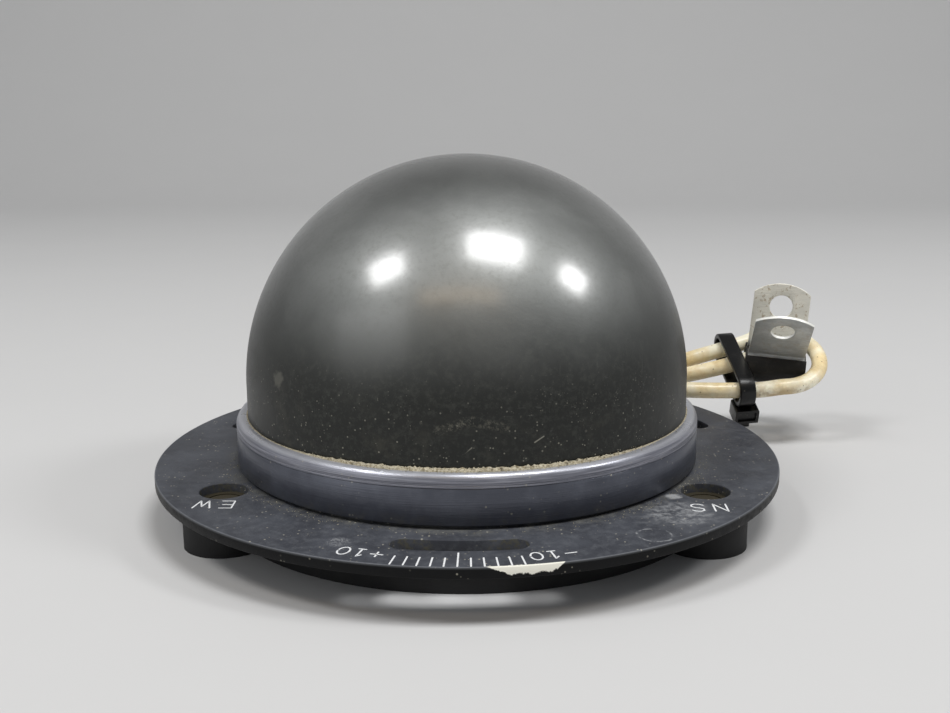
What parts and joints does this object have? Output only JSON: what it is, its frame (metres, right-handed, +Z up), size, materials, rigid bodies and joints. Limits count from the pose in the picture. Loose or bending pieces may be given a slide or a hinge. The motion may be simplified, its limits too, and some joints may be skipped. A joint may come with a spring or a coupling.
{
  "type": "compass flux detector",
  "caption": "Remote compass flux detector: domed fluid bowl on a slotted flange, gimballed sensing coils inside, magnet compensator below and a tied lead with a loop clamp.",
  "frame": {"origin": "on the floor under the dome's axis, at the middle of the compensator pan's bottom", "axes": "+Z up along the dome's axis; -Y towards the index scale and the front mounting slot; +X towards the access hole marked for north and south"},
  "size_m": [0.1421, 0.1486, 0.0681],
  "materials": {
    "flange_anodise": "matte black hard anodise on a turned and drilled plate, scuffed",
    "ring_anodise": "dark blue-grey satin anodise with fine turning lines",
    "dome_paint": "black semi-gloss enamel, dusty low down",
    "pan_paint": "matte black",
    "seal_rubber": "dark red-brown seal rubber",
    "gasket_fibre": "grey fibre sheet",
    "black_rubber": "matte black",
    "brass": "machined",
    "dark_brass": "darkened",
    "steel": "plain",
    "pin_steel": "ground",
    "cross_alloy": "machined",
    "core_alloy": "annealed nickel-iron laminations",
    "bobbin_plastic": "moulded",
    "copper_wire": "enamelled copper winding",
    "board_laminate": "phenolic laminate",
    "terminal_plate": "tinned and gilt pins",
    "seal_glass": "fused glass bead",
    "core_insulation": "five colours of wire insulation",
    "magnet": "ground bar magnet",
    "cable_jacket": "cream jacket, yellowed and stained",
    "black_nylon": "moulded nylon",
    "clamp_aluminium": "dull band with bright edges"
  },
  "bodies": {
    "bowl": {"mounting_flange": "flange_anodise", "clamp_ring": "ring_anodise", "dome": "dome_paint", "bowl_seal": "seal_rubber", "filler_plug": "brass", "suspension_post": "brass", "post_nut": "steel", "fixed_yoke": "brass", "terminal_board": "board_laminate", "terminal_pins": "terminal_plate", "terminal_seals": "seal_glass", "cable_cores": "core_insulation", "compensator_plate": "brass", "plate_screws": "steel", "gear_studs": "steel", "compensator_pan": "pan_paint", "pan_gasket": "gasket_fibre", "pan_screws": "steel", "cable_gland": "black_rubber", "cable_tail": "cable_jacket", "signal_cable": "cable_jacket", "cable_tie": "black_nylon", "clamp_band": "clamp_aluminium", "clamp_cushion": "black_rubber"},
    "gimbal": {"gimbal_cross": "cross_alloy", "gimbal_pins": "pin_steel"},
    "pendulum": {"pendulum_yoke": "brass", "core_inner": "core_alloy", "core_outer": "core_alloy", "core_spool": "core_alloy", "exciter_bobbin": "bobbin_plastic", "exciter_coil": "copper_wire", "pickup_bobbin_a": "bobbin_plastic", "pickup_bobbin_b": "bobbin_plastic", "pickup_bobbin_c": "bobbin_plastic", "pickup_coil_a": "copper_wire", "pickup_coil_b": "copper_wire", "pickup_coil_c": "copper_wire", "horn_spacers": "cross_alloy", "horn_rivets": "brass", "pendulum_weight": "brass", "pendulum_bolt": "steel", "weight_nut": "steel"},
    "ns_knob": {"ns_knob": "dark_brass"},
    "ns_gear_a": {"ns_gear_a": "brass", "ns_magnet_a": "magnet"},
    "ns_gear_b": {"ns_gear_b": "brass", "ns_magnet_b": "magnet"},
    "ew_knob": {"ew_knob": "dark_brass"},
    "ew_gear_a": {"ew_gear_a": "brass", "ew_magnet_a": "magnet"},
    "ew_gear_b": {"ew_gear_b": "brass", "ew_magnet_b": "magnet"}
  },
  "joints": [
    {"name": "gimbal_roll", "type": "hinge", "parent": "bowl", "child": "gimbal", "pos_m": [0, 0, 0.0256], "axis": [1, 0, 0], "range_deg": [-25, 25]},
    {"name": "pendulum_pitch", "type": "hinge", "parent": "gimbal", "child": "pendulum", "pos_m": [0, 0, 0.0256], "axis": [0, 1, 0], "range_deg": [-25, 25]},
    {"name": "ns_adjust", "type": "hinge", "parent": "bowl", "child": "ns_knob", "pos_m": [0.04313, -0.0249, 0.0044], "axis": [0, 0, 1], "continuous": true},
    {"name": "ns_magnet_a_turn", "type": "hinge", "parent": "bowl", "child": "ns_gear_a", "pos_m": [0.0323, -0.01865, 0.0044], "axis": [0, 0, 1], "continuous": true},
    {"name": "ns_magnet_b_turn", "type": "hinge", "parent": "bowl", "child": "ns_gear_b", "pos_m": [0.0323, -0.00065, 0.0044], "axis": [0, 0, 1], "continuous": true},
    {"name": "ew_adjust", "type": "hinge", "parent": "bowl", "child": "ew_knob", "pos_m": [-0.04313, -0.0249, 0.0044], "axis": [0, 0, 1], "continuous": true},
    {"name": "ew_magnet_a_turn", "type": "hinge", "parent": "bowl", "child": "ew_gear_a", "pos_m": [-0.0323, -0.01865, 0.0044], "axis": [0, 0, 1], "continuous": true},
    {"name": "ew_magnet_b_turn", "type": "hinge", "parent": "bowl", "child": "ew_gear_b", "pos_m": [-0.0323, -0.00065, 0.0044], "axis": [0, 0, 1], "continuous": true}
  ],
  "couplings": [
    {"joint": "ns_magnet_a_turn", "follows": "ns_adjust", "ratio": -0.38889},
    {"joint": "ns_magnet_b_turn", "follows": "ns_adjust", "ratio": 0.38889},
    {"joint": "ew_magnet_a_turn", "follows": "ew_adjust", "ratio": -0.38889},
    {"joint": "ew_magnet_b_turn", "follows": "ew_adjust", "ratio": 0.38889}
  ]
}
